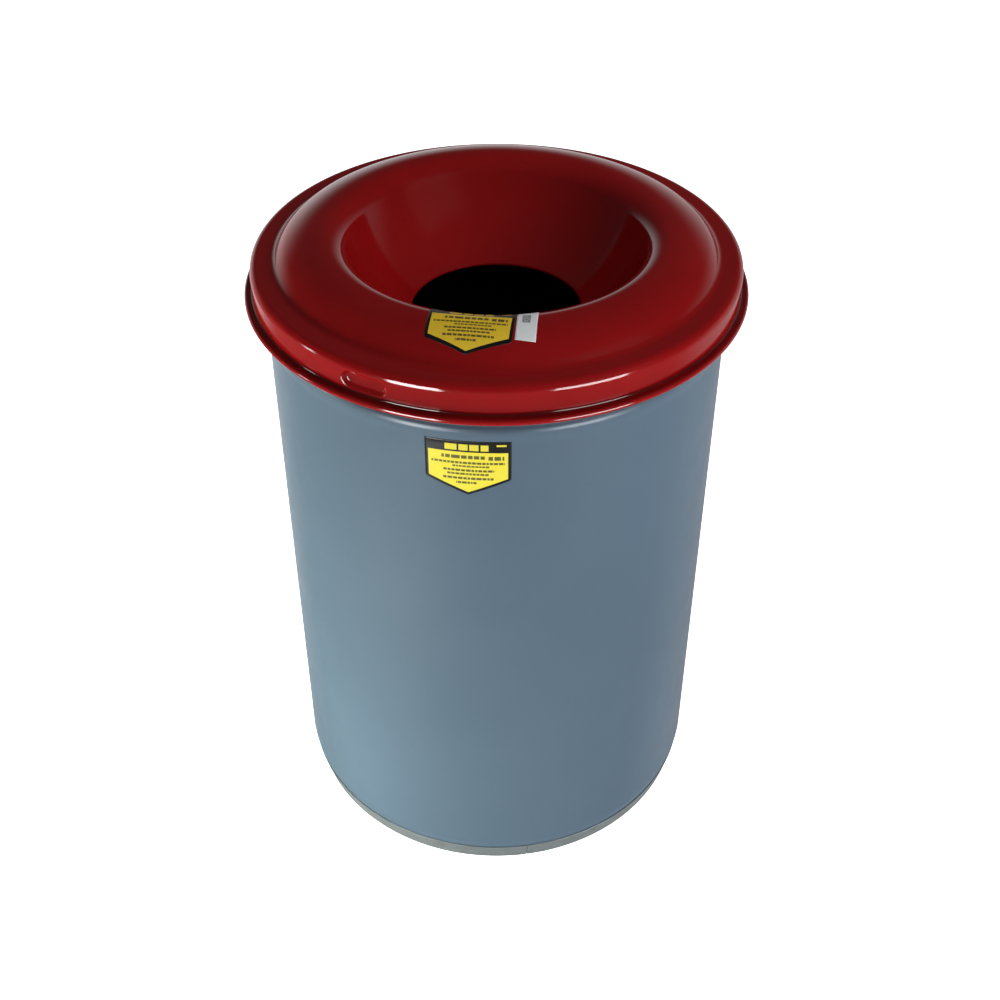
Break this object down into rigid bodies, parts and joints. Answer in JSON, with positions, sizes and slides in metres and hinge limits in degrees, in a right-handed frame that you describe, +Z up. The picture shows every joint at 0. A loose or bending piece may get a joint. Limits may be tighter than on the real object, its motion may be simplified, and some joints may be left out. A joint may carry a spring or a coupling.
{
  "type": "fire-safe waste receptacle",
  "caption": "Open round sheet-steel drum with a lift-off domed head whose inside slopes like a funnel to a central round opening.",
  "frame": {"origin": "on the drum's axis, at the level of the floor it stands on", "axes": "+Z up the drum's axis, -Y towards the labels at the front"},
  "size_m": [0.3866, 0.3866, 0.5366],
  "materials": {
    "drum_paint": "satin",
    "bare_steel": "worn, slightly dull",
    "sealant": "matt",
    "label_print": "satin film",
    "head_paint": "glossy powder coat",
    "sticker": "satin film"
  },
  "bodies": {
    "drum": {"drum_wall": "drum_paint", "side_seam_weld": "drum_paint", "drum_bottom": "drum_paint", "foot_band": "bare_steel", "bottom_sealant": "sealant", "drum_label": "label_print"},
    "head": {"funnel_head": "head_paint", "head_label": "label_print", "head_sticker": "sticker"}
  },
  "joints": [
    {"name": "head_lift", "type": "slide", "parent": "drum", "child": "head", "axis": [0, 0, 1], "range_m": [0, 0.15]}
  ]
}
